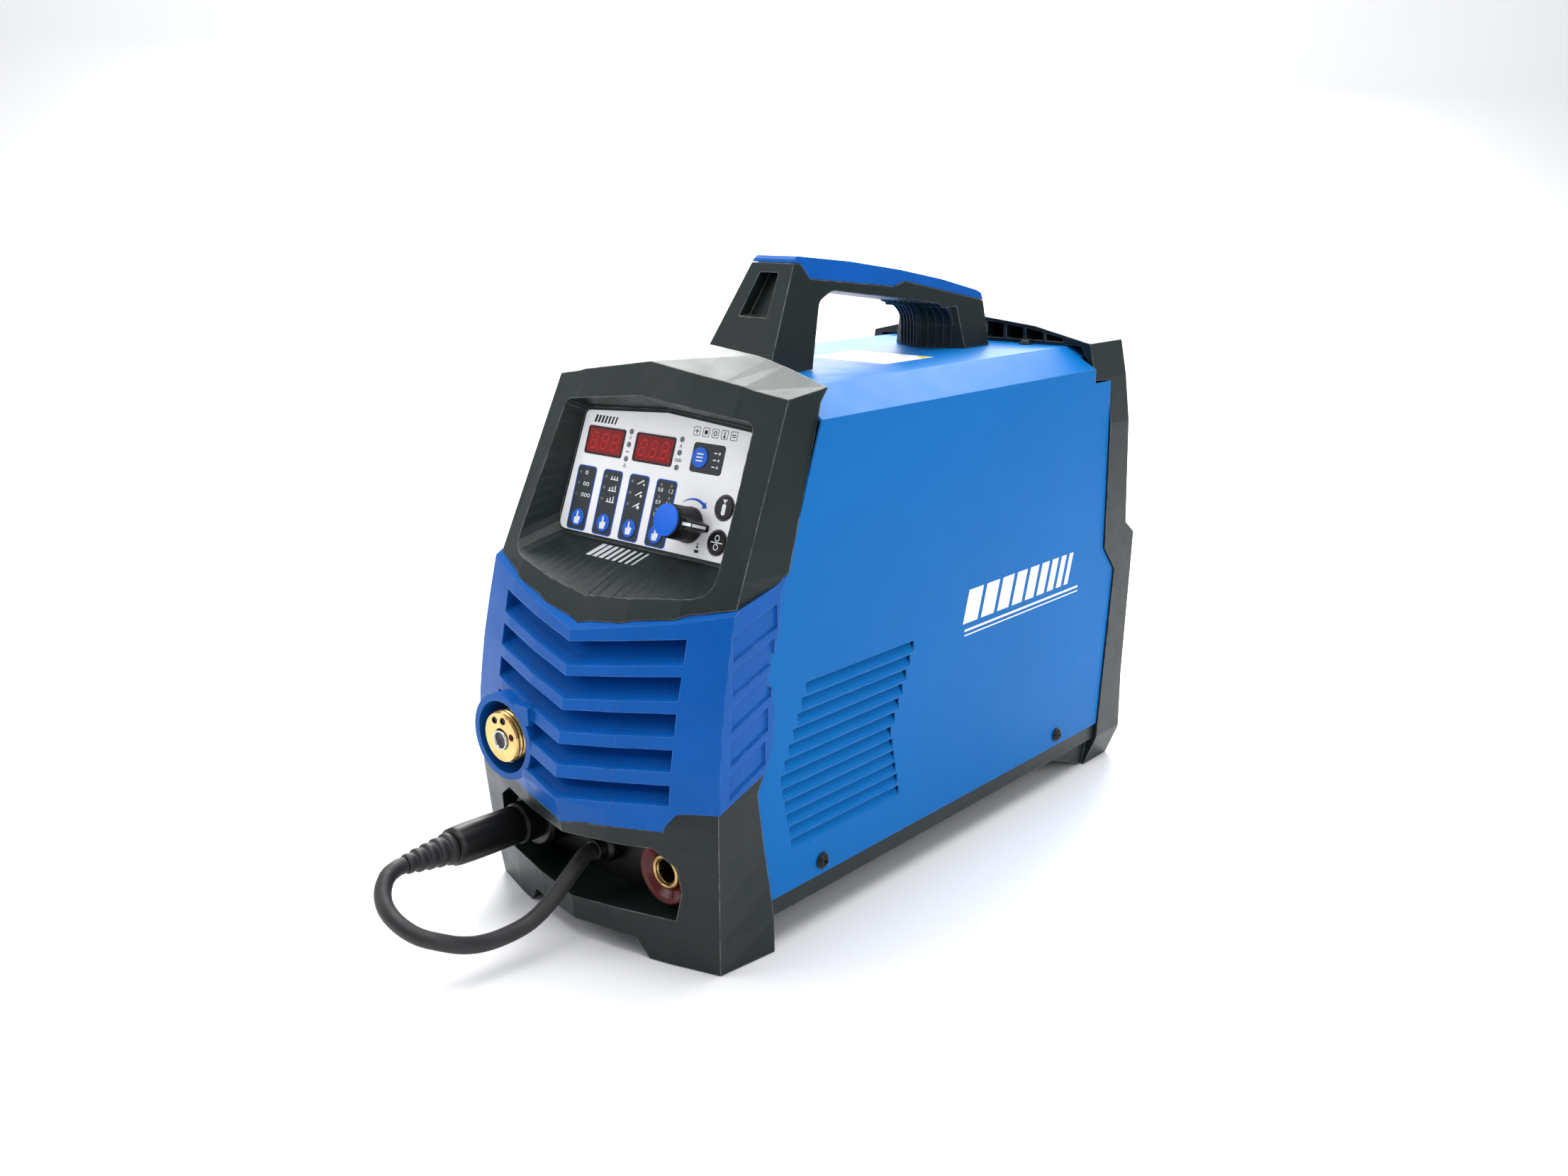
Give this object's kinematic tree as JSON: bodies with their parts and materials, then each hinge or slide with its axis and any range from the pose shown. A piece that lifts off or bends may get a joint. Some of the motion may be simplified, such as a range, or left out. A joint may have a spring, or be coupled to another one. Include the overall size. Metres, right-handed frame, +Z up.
{
  "type": "mig welding machine",
  "caption": "Portable inverter MIG welding machine with a carry handle, control panel, torch connector, work socket, polarity lead, hinged wire-bay door and wire feeder.",
  "frame": {"origin": "on the floor under the middle of the machine, without its free lead", "axes": "X across the machine (right side +X seen from the front), -Y the control end, +Z up"},
  "size_m": [0.192, 0.5243, 0.352],
  "materials": {
    "blue_paint": "semi-gloss powder coat",
    "blue_plastic": "satin moulded plastic",
    "charcoal_plastic": "fine-grained moulded plastic",
    "black_plastic": "satin",
    "black_rubber": "soft matt",
    "brass": "machined",
    "steel": "machined",
    "aluminium": "mill finish",
    "maroon_plastic": "polished",
    "overlay_white": "printed polyester film",
    "display_red": "clear dark filter",
    "key_blue": "moulded key",
    "board_green": "solder mask",
    "copper": "copper coat",
    "red_plastic": "moulded"
  },
  "bodies": {
    "machine": {"front_bezel": "charcoal_plastic", "front_base": "charcoal_plastic", "base_tray": "charcoal_plastic", "handle_frame": "charcoal_plastic", "rear_frame": "charcoal_plastic", "rear_panel": "charcoal_plastic", "spool_hub": "charcoal_plastic", "front_grille": "blue_plastic", "handle_cap": "blue_plastic", "socket_plate": "black_plastic", "torch_insulator": "black_plastic", "lead_socket_flange": "black_plastic", "plug_body": "black_plastic", "lead_gland": "black_plastic", "cover_screw_front": "black_plastic", "cover_screw_rear": "black_plastic", "cover_screw_top": "black_plastic", "fan_housing": "black_plastic", "switch_housing": "black_plastic", "mains_gland": "black_plastic", "control_overlay": "overlay_white", "display_left": "display_red", "display_right": "display_red", "control_board": "board_green", "inverter_board": "board_green", "wire_inlet_tube": "steel", "feed_motor": "steel", "torch_socket": "brass", "work_socket_insert": "brass", "lead_socket_insert": "brass", "gas_inlet": "brass", "work_socket_flange": "maroon_plastic", "plug_boot": "black_rubber", "polarity_lead": "black_rubber", "body_cover": "blue_paint", "divider": "aluminium", "heatsink": "aluminium", "feeder_plate": "aluminium", "output_transformer": "copper"},
    "door": {"side_door": "blue_paint"},
    "latch_front": {"door_latch_front": "black_plastic"},
    "latch_rear": {"door_latch_rear": "black_plastic"},
    "encoder": {"encoder_stem": "steel"},
    "knob": {"knob": "black_plastic", "knob_cap": "blue_plastic"},
    "mode_button_1": {"mode_button_1": "key_blue"},
    "mode_button_2": {"mode_button_2": "key_blue"},
    "mode_button_3": {"mode_button_3": "key_blue"},
    "mode_button_4": {"mode_button_4": "key_blue"},
    "menu_button": {"menu_button": "key_blue"},
    "gas_test_button": {"gas_test_button": "black_plastic"},
    "wire_inch_button": {"wire_inch_button": "black_plastic"},
    "rocker": {"power_switch": "red_plastic"},
    "fan": {"fan_rotor": "black_plastic"},
    "spool": {"wire_spool": "black_plastic", "wire_coil": "copper"},
    "drive": {"drive_roll": "steel"},
    "arm": {"pressure_arm": "black_plastic"},
    "idler": {"pressure_roll": "steel"},
    "lever": {"tension_lever": "red_plastic"}
  },
  "joints": [
    {"name": "door_hinge", "type": "hinge", "parent": "machine", "child": "door", "pos_m": [-0.0905, 0.02, 0.262], "axis": [0, 1, 0], "range_deg": [0, 100]},
    {"name": "latch_front_turn", "type": "hinge", "parent": "door", "child": "latch_front", "pos_m": [-0.0934, -0.095, 0.054], "axis": [-1, 0, 0], "range_deg": [0, 90]},
    {"name": "latch_rear_turn", "type": "hinge", "parent": "door", "child": "latch_rear", "pos_m": [-0.0934, 0.12, 0.054], "axis": [-1, 0, 0], "range_deg": [0, 90]},
    {"name": "encoder_push", "type": "slide", "parent": "machine", "child": "encoder", "axis": [0, 0.9455, -0.3256], "range_m": [0, 0.0005], "stiffness_N_per_m": 800, "springref_m": -0.002},
    {"name": "knob_turn", "type": "hinge", "parent": "encoder", "child": "knob", "pos_m": [0.0332, -0.14837, 0.22113], "axis": [0, -0.9455, 0.3256], "continuous": true},
    {"name": "mode_button_1_press", "type": "slide", "parent": "machine", "child": "mode_button_1", "axis": [0, 0.9455, -0.3256], "range_m": [0, 0.0005], "stiffness_N_per_m": 800, "springref_m": -0.002},
    {"name": "mode_button_2_press", "type": "slide", "parent": "machine", "child": "mode_button_2", "axis": [0, 0.9455, -0.3256], "range_m": [0, 0.0005], "stiffness_N_per_m": 800, "springref_m": -0.002},
    {"name": "mode_button_3_press", "type": "slide", "parent": "machine", "child": "mode_button_3", "axis": [0, 0.9455, -0.3256], "range_m": [0, 0.0005], "stiffness_N_per_m": 800, "springref_m": -0.002},
    {"name": "mode_button_4_press", "type": "slide", "parent": "machine", "child": "mode_button_4", "axis": [0, 0.9455, -0.3256], "range_m": [0, 0.0005], "stiffness_N_per_m": 800, "springref_m": -0.002},
    {"name": "menu_button_press", "type": "slide", "parent": "machine", "child": "menu_button", "axis": [0, 0.9455, -0.3256], "range_m": [0, 0.0005], "stiffness_N_per_m": 800, "springref_m": -0.002},
    {"name": "gas_test_button_press", "type": "slide", "parent": "machine", "child": "gas_test_button", "axis": [0, 0.9455, -0.3256], "range_m": [0, 0.0005], "stiffness_N_per_m": 800, "springref_m": -0.002},
    {"name": "wire_inch_button_press", "type": "slide", "parent": "machine", "child": "wire_inch_button", "axis": [0, 0.9455, -0.3256], "range_m": [0, 0.0005], "stiffness_N_per_m": 800, "springref_m": -0.002},
    {"name": "rocker_tilt", "type": "hinge", "parent": "machine", "child": "rocker", "pos_m": [0.034, 0.198, 0.105], "axis": [-1, 0, 0], "range_deg": [0, 22]},
    {"name": "fan_spin", "type": "hinge", "parent": "machine", "child": "fan", "pos_m": [0.034, 0.1836, 0.19], "axis": [0, 1, 0], "continuous": true},
    {"name": "spool_spin", "type": "hinge", "parent": "machine", "child": "spool", "pos_m": [-0.052, 0.086, 0.156], "axis": [1, 0, 0], "continuous": true},
    {"name": "drive_spin", "type": "hinge", "parent": "machine", "child": "drive", "pos_m": [-0.052, -0.08, 0.0867], "axis": [1, 0, 0], "continuous": true},
    {"name": "arm_lift", "type": "hinge", "parent": "machine", "child": "arm", "pos_m": [-0.06, -0.052, 0.119], "axis": [-1, 0, 0], "range_deg": [0, 30]},
    {"name": "idler_spin", "type": "hinge", "parent": "arm", "child": "idler", "pos_m": [-0.052, -0.08, 0.1133], "axis": [1, 0, 0], "continuous": true},
    {"name": "lever_swing", "type": "hinge", "parent": "machine", "child": "lever", "pos_m": [-0.045, -0.112, 0.092], "axis": [1, 0, 0], "range_deg": [0, 50]}
  ],
  "couplings": [
    {"joint": "idler_spin", "follows": "drive_spin", "ratio": -1.1667},
    {"joint": "lever_swing", "follows": "arm_lift", "ratio": 1.6667}
  ]
}
